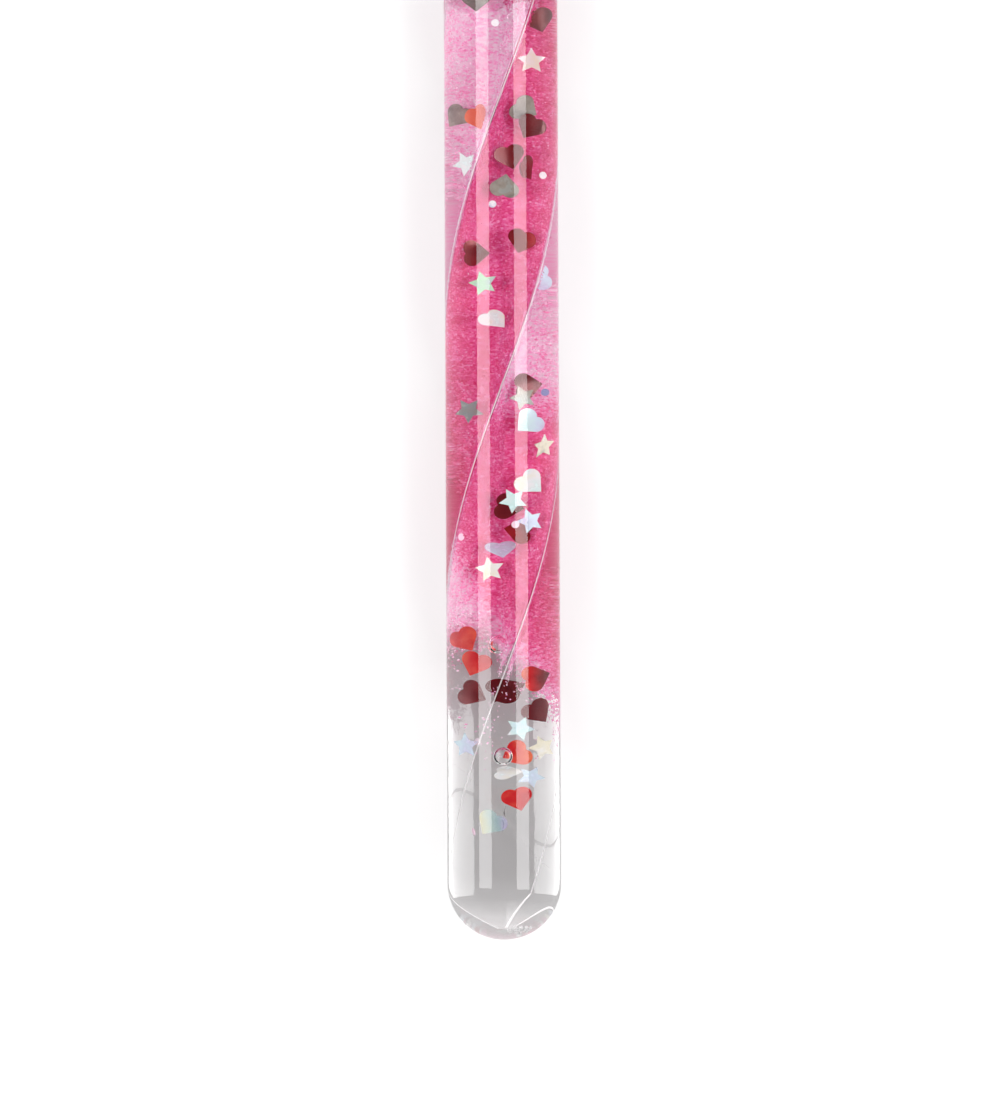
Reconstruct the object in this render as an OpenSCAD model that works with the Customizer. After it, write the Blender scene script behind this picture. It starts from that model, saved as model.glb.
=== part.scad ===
// Liquid-filled glitter wand: a clear tube with a twisted three-fin insert, pink glitter
// and foil shapes in a thick clear liquid.
// The wand lies along Y on its side, resting at z = 0, with its domed end towards -Y.
// Each piece is drawn upright, with the dome tip at z = 0 and the front at -Y, and then laid down.

/* [Tube] */
// Overall length from dome tip to cap tip
wand_length = 300; // [260:5:360]
// Outside diameter of the tube
tube_d = 25; // [22:0.5:32]
// Thickness of the tube wall
tube_wall = 1; // [0.8:0.1:1.5]

/* [Spiral insert] */
// Length of one full turn of the fins
spiral_lead = 190; // [150:5:260]
// Thickness of each fin
fin_thickness = 0.5; // [0.4:0.1:1]
// How far the pointed foot of the fins reaches down into the dome
insert_toe = 5.6; // [4:0.1:5.8]
// Radius of the foot's blunt tip
toe_r = 1; // [0.6:0.1:2]
// Gap between the fin tips and the bore
fin_clearance = 0.4; // [0.35:0.05:0.6]

/* [Stopper and cap] */
// Height of the stopper
stopper_height = 8; // [6:0.5:12]
// Depth of the stopper's glue grooves
groove_depth = 0.6; // [0.3:0.1:0.9]
// Height of each glue groove
groove_height = 1; // [0.6:0.1:1.4]
// Diameter of the fill hole
fill_hole_d = 4; // [3:0.5:5]
// Diameter of the seat for the fill pin's head
pin_seat_d = 7; // [6:0.5:9]
// Height of the fill pin's head
pin_head_height = 1.5; // [1:0.1:2.5]
// Length of the cap's spigot inside the tube
spigot_length = 5; // [4:0.5:8]
// Thickness of the cap's spigot
cap_wall = 1.2; // [0.8:0.1:2]
// Glue gap around the stopper, the pin and the spigot
glue_gap = 0.1; // [0.05:0.01:0.15]

/* [Filling] */
// Width of the foil hearts
heart_width = 5.8; // [4.6:0.1:6.2]
// Tip-to-tip diameter of the foil stars
star_d = 5.7; // [4.5:0.1:6.2]
// Diameter of the pale dots
dot_d = 1.6; // [1:0.1:2.2]
// Diameter of the loose grains in the dome
grain_d = 1; // [0.6:0.1:1.4]
// Thickness of the foil
foil_thickness = 0.2; // [0.1:0.05:0.4]
// Thickness of the glitter that lines the fins
glitter_thickness = 0.4; // [0.2:0.1:0.6]
// Gap kept by what drifts in the channels
drift_gap = 0.3; // [0.25:0.05:0.4]
// Gap between the liquid and what it wets
wet_gap = 0.08; // [0.04:0.01:0.09]

/* [Hidden] */
$fn = 64;

// Radii
tube_r = tube_d / 2;
bore_r = tube_r - tube_wall;
fin_r = bore_r - fin_clearance;
fin_pocket_r = norm([fin_r + wet_gap, fin_thickness / 2 + wet_gap]);
plug_r = bore_r - glue_gap;
cap_bore_r = plug_r - cap_wall;

// Heights above the dome tip
cap_foot = wand_length - tube_r;
tube_mouth = cap_foot - glue_gap;
stopper_top = cap_foot - spigot_length - glue_gap;
stopper_foot = stopper_top - stopper_height;
pin_seat_foot = stopper_top - pin_head_height - glue_gap;
liquid_top = stopper_foot - wet_gap;
insert_top = stopper_foot - fin_clearance;
insert_foot = tube_r - sqrt(pow(bore_r - 2 * wet_gap, 2) - pow(fin_pocket_r, 2)) + wet_gap;
insert_length = insert_top - insert_foot;

// Fins and channels: channel a is centred on the first direction, b and c follow around
fin_count = 3;
fin_step = 360 / fin_count;
channel_half = fin_step / 2;
channel_names = ["a", "b", "c"];
channels = [0 : fin_count - 1];
fin_slope = atan(2 * PI * fin_r / spiral_lead);
spiral_slices = 72;
fin_segments = 21;
glitter_slices = 40;
glitter_segments = 14;

// Glitter: shares of the insert's length where it starts and ends, and of the fin that it covers
glitter_from_shares = [0.25, 0.2, 0.145];
glitter_to_share = 0.75;
glitter_reach_share = 0.93;
glitter_in = fin_thickness / 2 + drift_gap;
glitter_out = glitter_in + glitter_thickness;

// Foil outlines
heart_centre_share = 0.15;
star_points = 5;
star_waist_share = 0.5;

// Foil places, one list a channel. Each row is: share of the insert's length, share of the room
// to either side, share of the room outwards, then turn, lean and tip of the foil in degrees.
red_heart_shares = [
    [
        [0.725, 0, 0.3, 20, -55, 10],
        [0.635, 0.2, 0.6, -30, -35, 10],
        [0.61, -0.9, 0.5, 15, -25, 5],
        [0.6, 0.8, 0.5, 40, 40, 0],
        [0.53, -1, 0.85, 90, 10, -10],
        [0.54, 1, 0.75, -20, -10, 15],
        [0.168, 0, 0.1, -120, 0, 5]
    ],
    [
        [0.42, -0.6, 0.35, 100, -35, 5],
        [0.32, 0.2, 0.15, 80, -5, 10],
        [0.3, 1, 0.6, -100, 0, -10],
        [0.21, -0.9, 0.65, 30, 25, 10],
        [0.19, 0, 0.35, -20, 40, -10],
        [0.165, 0.3, 0.4, 60, 40, 10]
    ],
    [
        [0.643, 1, 0.6, 20, 15, 0],
        [0.178, 0.1, 0.5, 110, -40, 10],
        [0.15, 0.5, 0.6, 35, -30, -10],
        [0.115, 0.1, 0.05, -60, -20, 10],
        [0.078, 1, 0.3, 15, 0, 15]
    ]
];
silver_heart_shares = [
    [
        [0.65, -0.6, 0.4, 60, -30, 20],
        [0.585, -0.6, 0.7, 170, -10, -15],
        [0.475, 1, 0.5, 30, 15, 45]
    ],
    [
        [0.51, -0.7, 0.2, -70, -55, 10],
        [0.39, 0.15, 0.5, -50, -30, -10],
        [0.34, 0.9, 0.6, 45, -15, 10],
        [0.285, 0.3, 0.3, 10, 5, -50]
    ],
    [
        [0.74, -0.6, 0.8, 0, 10, 30],
        [0.645, -0.6, 0.7, -30, 60, 25],
        [0.1, -0.6, 0.7, 90, -10, 60],
        [0.058, -0.6, 0.7, -35, 0, 0]
    ]
];
silver_star_shares = [
    [
        [0.69, -0.6, 0.3, 0, -65, 5],
        [0.505, -0.4, 0.6, 15, 10, -10],
        [0.4, 0.3, 0.5, 35, 60, 10]
    ],
    [
        [0.41, -0.8, 1, 20, -35, 0],
        [0.37, 1, 0.95, 10, 20, 20],
        [0.325, 0.1, 0.8, 30, -10, 5],
        [0.308, 0.9, 1, 20, -5, 5],
        [0.268, -0.2, 0.5, 10, 15, -5],
        [0.122, 0.9, 0.8, 0, 55, 10]
    ],
    [
        [0.605, 0.6, 0.4, 25, 40, 5],
        [0.136, -0.4, 0.4, 50, -32, -20],
        [0.12, 0.9, 0.85, 20, -25, 10],
        [0.096, 0.9, 0.7, 45, -10, 30]
    ]
];
pearl_dot_shares = [
    [
        [0.595, 0.9, 0.7, 0, -30, 10],
        [0.57, -0.5, 0.95, 0, -10, 0],
        [0.345, 0.4, 0.3, 0, 30, 10],
        [0.335, 1, 0.2, 0, 40, 0],
        [0.29, 0.8, 0.5, 0, 50, 0],
        [0.275, 0.9, 0.3, 0, 40, 10]
    ],
    [
        [0.415, 0.6, 0.6, 0, -30, 10],
        [0.295, -1, 1, 0, 10, 0],
        [0.305, 0.3, 0.8, 0, 0, 10],
        [0.125, 0.6, 0.3, 0, 30, 0],
        [0.05, 0.9, 0.3, 0, 40, 10]
    ],
    [
        [0.72, 0.5, 0.8, 0, 20, 0],
        [0.3, -0.9, 0.4, 0, -40, 10],
        [0.27, -0.8, 0.5, 0, -30, 0]
    ]
];

// Grains in the dome: each channel's share of the bore radius for its ring, and the ring's height
grain_count = 4;
grain_ring_shares = [0.22, 0.36, 0.5];
grain_height_share = 0.3;
grain_start = -70;

// Laid on its side
module lay() {
    translate([0, -wand_length / 2, tube_r]) rotate([-90, 0, 0]) children();
}

// Space inside a closed round-ended tube of radius r, up to a height
module round_end_rod(r, top) {
    union() {
        translate([0, 0, tube_r]) sphere(r);
        translate([0, 0, tube_r]) cylinder(h = top - tube_r, r = r);
    }
}

// Outline of the three fins, with the corners where their faces meet
function fin_point(along, aside, angle) =
    [along * cos(angle) - aside * sin(angle), along * sin(angle) + aside * cos(angle)];
function fin_star(half, reach) = [
    for (i = channels)
        let (angle = fin_step * i + channel_half)
        each [
            fin_point(half / tan(channel_half), -half, angle),
            fin_point(reach, -half, angle),
            fin_point(reach, half, angle)
        ]
];

// Outline of a layer that lines both fins of a channel, from one distance off the fins to another
function beside_fin(along, off, side) =
    fin_point(along, -side * off, side * channel_half);
function fin_lining(inner, outer, reach) = [
    [inner / sin(channel_half), 0],
    beside_fin(reach, inner, 1),
    beside_fin(reach, outer, 1),
    [outer / sin(channel_half), 0],
    beside_fin(reach, outer, -1),
    beside_fin(reach, inner, -1)
];

// Direction of a channel's middle at a height, and a height from its share of the insert
function channel_angle(channel, height) =
    fin_step * channel + 360 * (height - insert_foot) / spiral_lead;
function rise(share) = insert_foot + share * insert_length;

// Right-handed spiral sweep of an outline between two heights
module spiral(outline, foot, top, slices, segments) {
    translate([0, 0, foot])
        rotate([0, 0, channel_angle(0, foot)])
            linear_extrude(
                height = top - foot, twist = -360 * (top - foot) / spiral_lead,
                slices = slices, segments = segments
            )
                polygon(outline);
}

// Round blank that tapers towards the dome: it gives the fins their pointed foot
module toe_taper(grow) {
    low = insert_foot - insert_toe - 2 * wet_gap - 2 * grow;
    high = insert_top + 2 * wet_gap;
    rotate_extrude() polygon([
        [0, low],
        [toe_r + grow, low],
        [fin_pocket_r + wet_gap, insert_foot - grow],
        [fin_pocket_r + wet_gap, high],
        [0, high]
    ]);
}

module spiral_fins(grow = 0) {
    intersection() {
        spiral(
            fin_star(fin_thickness / 2 + grow, fin_r + grow),
            insert_foot - insert_toe - grow, insert_top + grow, spiral_slices, fin_segments
        );
        toe_taper(grow);
    }
}

module glitter_lining(channel, inner, grow = 0) {
    foot = rise(glitter_from_shares[channel]) - grow;
    top = rise(glitter_to_share) + grow;
    rotate([0, 0, fin_step * channel])
        spiral(
            fin_lining(inner, glitter_out + grow, glitter_reach_share * fin_r + grow),
            foot, top, glitter_slices, glitter_segments
        );
}

// Half-size of a leaning foil, measured square to a fin, and the room that it needs from that fin
function foil_span(reach, lean, tip, side) =
    reach * sqrt(1 - pow(cos(abs(tip) + fin_slope) * cos(lean + side * (90 - channel_half)), 2));
function fin_room(reach, lean, tip, side) =
    glitter_out + drift_gap + foil_span(reach, lean, tip, side);

// Places a foil of the given reach in a channel, clear of both fins, the glitter and the bore
module in_channel(channel, row, reach) {
    height = rise(row[0]);
    side = sign(row[1]);
    room = [for (s = [-1, 0, 1]) fin_room(reach, row[4], row[5], s)];
    near = max(room[0], room[2]) / sin(channel_half);
    far = bore_r - drift_gap - reach;
    out = near + row[2] * (far - near);
    swing = row[1] * (channel_half - asin(room[1 + side] / out));
    translate([0, 0, height])
        rotate([0, 0, channel_angle(channel, height) + swing])
            translate([out, 0, 0])
                rotate([0, 0, row[4] - swing])
                    rotate([0, row[5], 0])
                        rotate([row[3], 0, 0])
                            rotate([90, 0, 90])
                                children();
}

// Foil outlines
function heart_side(width) = width / (1 + sqrt(1 / 2));
function heart_lobe(side) = side * sqrt(1 / 8);
function heart_reach(side) =
    norm([heart_lobe(side), heart_lobe(side) - heart_centre_share * side]) + side / 2;

module heart(width) {
    side = heart_side(width);
    lobe = heart_lobe(side);
    translate([0, -heart_centre_share * side]) {
        rotate(45) square(side, center = true);
        for (x = [-lobe, lobe]) translate([x, lobe]) circle(d = side);
    }
}

module star(d) {
    polygon([
        for (i = [0 : 2 * star_points - 1])
            let (r = i % 2 == 0 ? d / 2 : star_waist_share * d / 2, angle = 180 * i / star_points)
            [r * sin(angle), r * cos(angle)]
    ]);
}

module foil(grow) {
    linear_extrude(foil_thickness + 2 * grow, center = true) children();
}

// Sets of foils in one channel. A grown set is the pocket that it takes up in the liquid.
module heart_set(channel, rows, grow = 0) {
    for (row = rows)
        in_channel(channel, row, heart_reach(heart_side(heart_width)))
            foil(grow) heart(heart_width + 4 * grow);
}

module star_set(channel, rows, grow = 0) {
    for (row = rows) in_channel(channel, row, star_d / 2) foil(grow) star(star_d + 4 * grow);
}

module dot_set(channel, rows, grow = 0) {
    for (row = rows) in_channel(channel, row, dot_d / 2) foil(grow) circle(d = dot_d + 2 * grow);
}

module grain_set(channel, grow = 0) {
    ring_r = grain_ring_shares[channel] * bore_r;
    height = tube_wall + grain_height_share * (insert_foot - tube_wall);
    spread = 2 * asin((grain_d + drift_gap) / (2 * ring_r));
    for (i = [0 : grain_count - 1])
        rotate([0, 0, grain_start + i * spread])
            translate([ring_r, 0, height]) sphere(d = grain_d + 2 * grow);
}

// Nodes
module tube() {
    color("azure", 0.3) lay() difference() {
        round_end_rod(tube_r, tube_mouth);
        round_end_rod(bore_r, tube_mouth + tube_wall);
    }
}

module spiral_insert() {
    color("lavender", 0.5) lay() spiral_fins();
}

module stopper() {
    color("white") lay() rotate_extrude() difference() {
        translate([0, stopper_foot]) square([plug_r, stopper_height]);
        translate([0, stopper_foot - glue_gap])
            square([fill_hole_d / 2, stopper_height + 2 * glue_gap]);
        translate([0, pin_seat_foot])
            square([pin_seat_d / 2, pin_head_height + 2 * glue_gap]);
        for (i = [1, 2])
            translate([plug_r - groove_depth, stopper_foot + i * stopper_height / 3 - groove_height / 2])
                square([groove_depth + glue_gap, groove_height]);
    }
}

module fill_pin() {
    color("whitesmoke") lay() rotate_extrude() {
        translate([0, stopper_foot])
            square([fill_hole_d / 2 - glue_gap, stopper_height]);
        translate([0, pin_seat_foot + glue_gap])
            square([pin_seat_d / 2 - glue_gap, pin_head_height]);
    }
}

module end_cap() {
    color("azure", 0.5) lay() rotate_extrude() difference() {
        union() {
            translate([0, cap_foot]) intersection() {
                circle(tube_r);
                square(tube_r);
            }
            translate([0, cap_foot - spigot_length]) square([plug_r, spigot_length]);
        }
        translate([0, cap_foot]) circle(cap_bore_r);
        translate([0, cap_foot - spigot_length - glue_gap]) square([cap_bore_r, spigot_length + glue_gap]);
    }
}

// The pockets of the fins and the glitter are joined into one mesh: an all-zero resize keeps their size
module liquid() {
    color("aliceblue", 0.25) lay() difference() {
        round_end_rod(bore_r - wet_gap, liquid_top);
        resize([0, 0, 0]) {
            spiral_fins(wet_gap);
            for (c = channels) glitter_lining(c, fin_thickness / 2, wet_gap);
        }
        for (c = channels) {
            heart_set(c, red_heart_shares[c], wet_gap);
            heart_set(c, silver_heart_shares[c], wet_gap);
            star_set(c, silver_star_shares[c], wet_gap);
            dot_set(c, pearl_dot_shares[c], wet_gap);
            grain_set(c, wet_gap);
        }
    }
}

module glitter(channel) {
    color("hotpink") lay() glitter_lining(channel, glitter_in);
}

module red_hearts(channel) {
    color("crimson") lay() heart_set(channel, red_heart_shares[channel]);
}

module silver_hearts(channel) {
    color("silver") lay() heart_set(channel, silver_heart_shares[channel]);
}

module silver_stars(channel) {
    color("gainsboro") lay() star_set(channel, silver_star_shares[channel]);
}

module pearl_dots(channel) {
    color("mistyrose") lay() dot_set(channel, pearl_dot_shares[channel]);
}

module grains(channel) {
    color("plum") lay() grain_set(channel);
}

tube();
spiral_insert();
stopper();
fill_pin();
end_cap();
liquid();
for (c = channels) {
    glitter(c);
    red_hearts(c);
    silver_hearts(c);
    silver_stars(c);
    pearl_dots(c);
    grains(c);
}
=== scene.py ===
import math
import random

import bpy
import numpy as np
from mathutils import Matrix, Vector


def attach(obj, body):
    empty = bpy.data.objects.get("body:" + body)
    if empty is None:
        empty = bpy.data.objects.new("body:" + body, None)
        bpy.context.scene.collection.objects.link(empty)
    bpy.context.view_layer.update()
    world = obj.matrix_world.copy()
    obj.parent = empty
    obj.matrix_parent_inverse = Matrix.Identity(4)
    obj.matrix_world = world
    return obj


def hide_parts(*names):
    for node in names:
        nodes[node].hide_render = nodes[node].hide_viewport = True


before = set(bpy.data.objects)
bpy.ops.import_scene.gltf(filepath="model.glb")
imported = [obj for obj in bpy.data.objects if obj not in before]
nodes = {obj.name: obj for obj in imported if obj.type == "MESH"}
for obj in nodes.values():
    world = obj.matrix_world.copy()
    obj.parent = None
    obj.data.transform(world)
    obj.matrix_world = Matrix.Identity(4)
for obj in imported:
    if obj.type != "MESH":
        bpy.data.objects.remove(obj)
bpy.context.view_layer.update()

# Sizes of the wand, in metres, after the part's source; film and glitter are thinner here
MM = 0.001
wand_length = 300 * MM
tube_r = 12.5 * MM
tube_wall = 1 * MM
bore_r = tube_r - tube_wall
wet_gap = 0.08 * MM
fin_r = 11.1 * MM
fin_thickness = 0.5 * MM
spiral_lead = 190 * MM
liquid_top = 274.32 * MM
tube_mouth = 287.4 * MM
insert_foot = 10.74 * MM
insert_top = 274 * MM
insert_length = insert_top - insert_foot
toe_depth = 5.6 * MM
toe_r = 1 * MM
glitter_out = 0.95 * MM
drift_gap = 0.3 * MM
heart_width = 5.8 * MM
star_d = 5.7 * MM
dot_d = 1.6 * MM
foil_thickness = 0.12 * MM
channel_names = ["a", "b", "c"]
channel_half = 60
fin_slope = math.degrees(math.atan(2 * math.pi * fin_r / spiral_lead))
# Points closer than this count as touching, and points closer than the next as one
touch = 0.01 * MM
merge_gap = 0.001 * MM
# Edges that meet at a smaller angle look rounded
soft_angle = math.radians(35)
fin_soft_angle = math.radians(30)


# Places inside the wand: across, up and down, and a height above the dome tip
def lie(x, y, height):
    return Vector((x, height - wand_length / 2, tube_r - y))


def height_of(place):
    return place.y + wand_length / 2


def channel_angle(channel, height):
    return 2 * channel_half * channel + 360 * (height - insert_foot) / spiral_lead


def rise(share):
    return insert_foot + share * insert_length


def paint(red, green, blue):
    """A colour as a paint chart gives it, from 0 to 255, made linear."""
    made = []
    for value in (red, green, blue):
        share = value / 255
        made.append(share / 12.92 if share <= 0.04045 else ((share + 0.055) / 1.055) ** 2.4)
    return (*made, 1)


# Work on one piece at a time
def put_all_down():
    if bpy.context.object and bpy.context.object.mode != "OBJECT":
        bpy.ops.object.mode_set(mode="OBJECT")
    bpy.ops.object.select_all(action="DESELECT")


def pick_up(piece):
    put_all_down()
    piece.select_set(True)
    bpy.context.view_layer.objects.active = piece


def fix_place(piece):
    pick_up(piece)
    bpy.ops.object.transform_apply(location=True, rotation=True, scale=True)


def choose(piece, kind, wanted):
    """Selects the faces, edges or vertices of a piece in edit mode that pass a test."""
    bpy.ops.object.mode_set(mode="EDIT")
    bpy.ops.mesh.select_mode(type={"faces": "FACE", "edges": "EDGE", "vertices": "VERT"}[kind])
    bpy.ops.mesh.select_all(action="DESELECT")
    bpy.ops.object.mode_set(mode="OBJECT")
    for part in getattr(piece.data, "polygons" if kind == "faces" else kind):
        part.select = bool(wanted(part))
    bpy.ops.object.mode_set(mode="EDIT")


def cut_away(piece, unwanted):
    choose(piece, "faces", unwanted)
    bpy.ops.mesh.delete(type="FACE")
    bpy.ops.object.mode_set(mode="OBJECT")


def cut_across(piece, cuts, low=-wand_length, high=wand_length):
    """Divides the edges that run along Y, where their middles lie between two places on it."""
    def runs_along(edge):
        first, last = (piece.data.vertices[v].co.y for v in edge.vertices)
        return abs(first - last) > touch and low < (first + last) / 2 < high

    choose(piece, "edges", runs_along)
    bpy.ops.mesh.subdivide(number_cuts=cuts)
    bpy.ops.object.mode_set(mode="OBJECT")


def face_outward(piece):
    pick_up(piece)
    bpy.ops.object.mode_set(mode="EDIT")
    bpy.ops.mesh.select_all(action="SELECT")
    bpy.ops.mesh.normals_make_consistent(inside=False)
    bpy.ops.object.mode_set(mode="OBJECT")


def join(pieces):
    put_all_down()
    for piece in pieces:
        piece.select_set(True)
    bpy.context.view_layer.objects.active = pieces[0]
    if len(pieces) > 1:
        bpy.ops.object.join()
    return pieces[0]


def put_on(piece, *finishes):
    piece.data.materials.clear()
    for finish in finishes:
        piece.data.materials.append(finish)


def apply_modifier(piece, kind, **settings):
    pick_up(piece)
    modifier = piece.modifiers.new(kind.title(), kind)
    for name, value in settings.items():
        setattr(modifier, name, value)
    bpy.ops.object.modifier_apply(modifier=modifier.name)


# Finishes: the steps that they share
bright = (1, 1, 1, 1)


def grey(value):
    return (value, value, value, 1)


def start_finish(name):
    finish = bpy.data.materials.new(name)
    finish.use_nodes = True
    tree = finish.node_tree
    tree.nodes.clear()
    out = tree.nodes.new("ShaderNodeOutputMaterial")
    shader = tree.nodes.new("ShaderNodeBsdfPrincipled")
    tree.links.new(shader.outputs[0], out.inputs["Surface"])
    return finish, tree, shader, out


def feed(tree, socket, value):
    """Sets a socket to a number, or links it to what another node gives."""
    if isinstance(value, (int, float)):
        socket.default_value = value
    else:
        tree.links.new(value, socket)


def reckon(tree, operation, *terms):
    node = tree.nodes.new("ShaderNodeMath")
    node.operation = operation
    for socket, term in zip(node.inputs, terms):
        feed(tree, socket, term)
    return node.outputs[0]


def own(tree, name):
    """A value that each point of a piece carries."""
    carried = tree.nodes.new("ShaderNodeAttribute")
    carried.attribute_name = name
    return carried.outputs["Fac"]


def spread(tree, scale, stretch=(1, 1, 1), detail=2.0, kind="ShaderNodeTexNoise"):
    """A pattern on Object coordinates, stretched by axis."""
    where = tree.nodes.new("ShaderNodeTexCoord")
    mapping = tree.nodes.new("ShaderNodeMapping")
    mapping.inputs["Scale"].default_value = stretch
    pattern = tree.nodes.new(kind)
    pattern.inputs["Scale"].default_value = scale
    pattern.inputs["Detail"].default_value = detail
    tree.links.new(where.outputs["Object"], mapping.inputs["Vector"])
    tree.links.new(mapping.outputs[0], pattern.inputs["Vector"])
    return pattern


def ramp(tree, source, stops):
    made = tree.nodes.new("ShaderNodeValToRGB")
    bar = made.color_ramp
    while len(bar.elements) < len(stops):
        bar.elements.new(0.5)
    for element, (place, colour) in zip(bar.elements, stops):
        element.position = place
        element.color = colour
    tree.links.new(source, made.inputs["Fac"])
    return made.outputs[0]


def by_ray(tree, rays, shader, other):
    """One shader for most light, and another for one kind of ray."""
    mix = tree.nodes.new("ShaderNodeMixShader")
    tree.links.new(rays, mix.inputs[0])
    tree.links.new(shader, mix.inputs[1])
    tree.links.new(other, mix.inputs[2])
    return mix.outputs[0]


def cover_in_part(finish, cover):
    tree = finish.node_tree
    feed(tree, tree.nodes["Principled BSDF"].inputs["Alpha"], cover)


# Clear plastic and liquid
dome_fade = 14 * MM
dome_tip_share = 0.2
wobble_scale = 260
wobble_stretch = (1, 0.12, 1)
wobble_depth = 0.2 * MM


def dome_height(tree):
    """Zero at the dome tip, and one where the dome's own light ends."""
    where = tree.nodes.new("ShaderNodeTexCoord")
    split = tree.nodes.new("ShaderNodeSeparateXYZ")
    tree.links.new(where.outputs["Object"], split.inputs[0])
    return reckon(tree, "MULTIPLY_ADD", split.outputs["Y"], 1 / dome_fade, wand_length / 2 / dome_fade)


def clear_plastic(name, bend, lit_beyond, lit_inside=None, lit_tip=None, wobble=0.0):
    """Clear plastic that lamp light goes through: onto what lies beyond it, and onto what is inside it.

    Towards the dome tip the light can rise to a level of its own."""
    finish, tree, shader, out = start_finish(name)
    shader.inputs["Base Color"].default_value = bright
    shader.inputs["Transmission Weight"].default_value = 1.0
    shader.inputs["IOR"].default_value = bend
    shader.inputs["Roughness"].default_value = 0.0
    if wobble:
        wave = spread(tree, wobble_scale, wobble_stretch, 1.0)
        bump = tree.nodes.new("ShaderNodeBump")
        bump.inputs["Strength"].default_value = wobble
        bump.inputs["Distance"].default_value = wobble_depth
        tree.links.new(wave.outputs[0], bump.inputs["Height"])
        tree.links.new(bump.outputs[0], shader.inputs["Normal"])
    open_way = tree.nodes.new("ShaderNodeBsdfTransparent")
    open_way.inputs["Color"].default_value = lit_beyond
    if lit_inside:
        beyond = ramp(tree, dome_height(tree), [(dome_tip_share, lit_tip), (1.0, lit_beyond)])
        side = tree.nodes.new("ShaderNodeNewGeometry")
        passed = tree.nodes.new("ShaderNodeMix")
        passed.data_type = "RGBA"
        passed.inputs[7].default_value = lit_inside
        tree.links.new(side.outputs["Backfacing"], passed.inputs[0])
        tree.links.new(beyond, passed.inputs[6])
        tree.links.new(passed.outputs[2], open_way.inputs["Color"])
    path = tree.nodes.new("ShaderNodeLightPath")
    for_lamps = by_ray(tree, path.outputs["Is Shadow Ray"], shader.outputs[0], open_way.outputs[0])
    for_glow = by_ray(tree, path.outputs["Is Diffuse Ray"], for_lamps, open_way.outputs[0])
    tree.links.new(for_glow, out.inputs["Surface"])
    return finish


# How far each surface bends light, against what lies on its other side
plastic_bend = 1.48
wet_bend = 1.05
liquid_bend = 1.001
bubble_bend = 1.3
fin_bend = 1.004
tube_light = (0.46, 0.44, 0.445, 1)
dome_tip_light = (0.74, 0.72, 0.725, 1)
inner_light = grey(0.97)
cap_light = grey(0.85)
skin_wobble = 0.02
tube_skin = clear_plastic(
    "clear_tube_skin", plastic_bend, tube_light, inner_light, dome_tip_light, skin_wobble
)
dry_bore = clear_plastic("dry_bore", plastic_bend, inner_light)
wet_bore = clear_plastic("wet_bore", wet_bend, bright)
liquid_skin = clear_plastic("liquid_skin", liquid_bend, bright)
bubble_skin = clear_plastic("bubble_skin", bubble_bend, bright)
fin_plastic = clear_plastic("clear_fin", fin_bend, bright)
cap_plastic = clear_plastic("clear_cap", plastic_bend, cap_light)

# Moulded plastic, and the edges of the fins, whose white tips and cut foot are painted highlight and
# glow
mould_scale = 900
mould_dark_share = 0.93
cut_white_and_glow = paint(255, 252, 253)
edge_rough = 0.3
grain_cover = 0.75
edge_near_cover = 0.62
edge_far_cover = 0.05
cut_edge_cover = 0.9
cut_edge_painted_glow = 0.45
glint_patch_cover = 0.2
glint_patch_from_share = 0.36
glint_patch_to_share = 0.72
glint_patch_glow = 0.3


def moulded_plastic(name, colour, rough):
    finish, tree, shader = start_finish(name)[:3]
    grain = spread(tree, mould_scale, detail=4.0).outputs[0]
    darker = tuple(channel * mould_dark_share for channel in colour[:3]) + (1,)
    tint = ramp(tree, grain, [(0.35, darker), (0.65, colour)])
    tree.links.new(tint, shader.inputs["Base Color"])
    shade = ramp(tree, grain, [(0.3, grey(rough * 0.85)), (0.7, grey(rough * 1.15))])
    tree.links.new(shade, shader.inputs["Roughness"])
    return finish


def glowing_cut_plastic(name, painted_glow):
    """The cut foot of the fins: white, with a painted glow that stands in for the light it catches."""
    finish = moulded_plastic(name, cut_white_and_glow, edge_rough)
    shader = finish.node_tree.nodes["Principled BSDF"]
    shader.inputs["Emission Color"].default_value = cut_white_and_glow
    shader.inputs["Emission Strength"].default_value = painted_glow
    return finish


stopper_white = moulded_plastic("stopper_white", paint(238, 236, 238), 0.35)
pin_white = moulded_plastic("pin_white", paint(228, 227, 230), 0.3)
grain_pale = moulded_plastic("grain_pale", paint(254, 252, 253), 0.15)
cover_in_part(grain_pale, grain_cover)
# The white tips of the clear fins are a painted highlight along each edge, covering more from the front
# side than from the back
fin_tip_painted_highlight = moulded_plastic("fin_tip_painted_highlight", paint(252, 246, 249), edge_rough)
edge_side = fin_tip_painted_highlight.node_tree.nodes.new("ShaderNodeNewGeometry")
cover_in_part(fin_tip_painted_highlight, ramp(
    fin_tip_painted_highlight.node_tree, edge_side.outputs["Backfacing"],
    [(0.0, grey(edge_near_cover)), (1.0, grey(edge_far_cover))],
))
# The foot's cut edges glow with painted light, and the toe's faces carry a faint white with a painted
# glow for its glints, fading out going up from the dome
cut_edge = glowing_cut_plastic("cut_edge", cut_edge_painted_glow)
cover_in_part(cut_edge, cut_edge_cover)
painted_glints_at_foot = glowing_cut_plastic("painted_glints_at_foot", glint_patch_glow)
cover_in_part(painted_glints_at_foot, ramp(
    painted_glints_at_foot.node_tree, dome_height(painted_glints_at_foot.node_tree),
    [(glint_patch_from_share, grey(glint_patch_cover)), (glint_patch_to_share, grey(0.0))],
))

# Foil film
crinkle_scale = 420
crinkle_share = 0.36
film_lets_past = (0.66, 0.54, 0.6, 1)
clear_film_cover = 0.35


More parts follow.
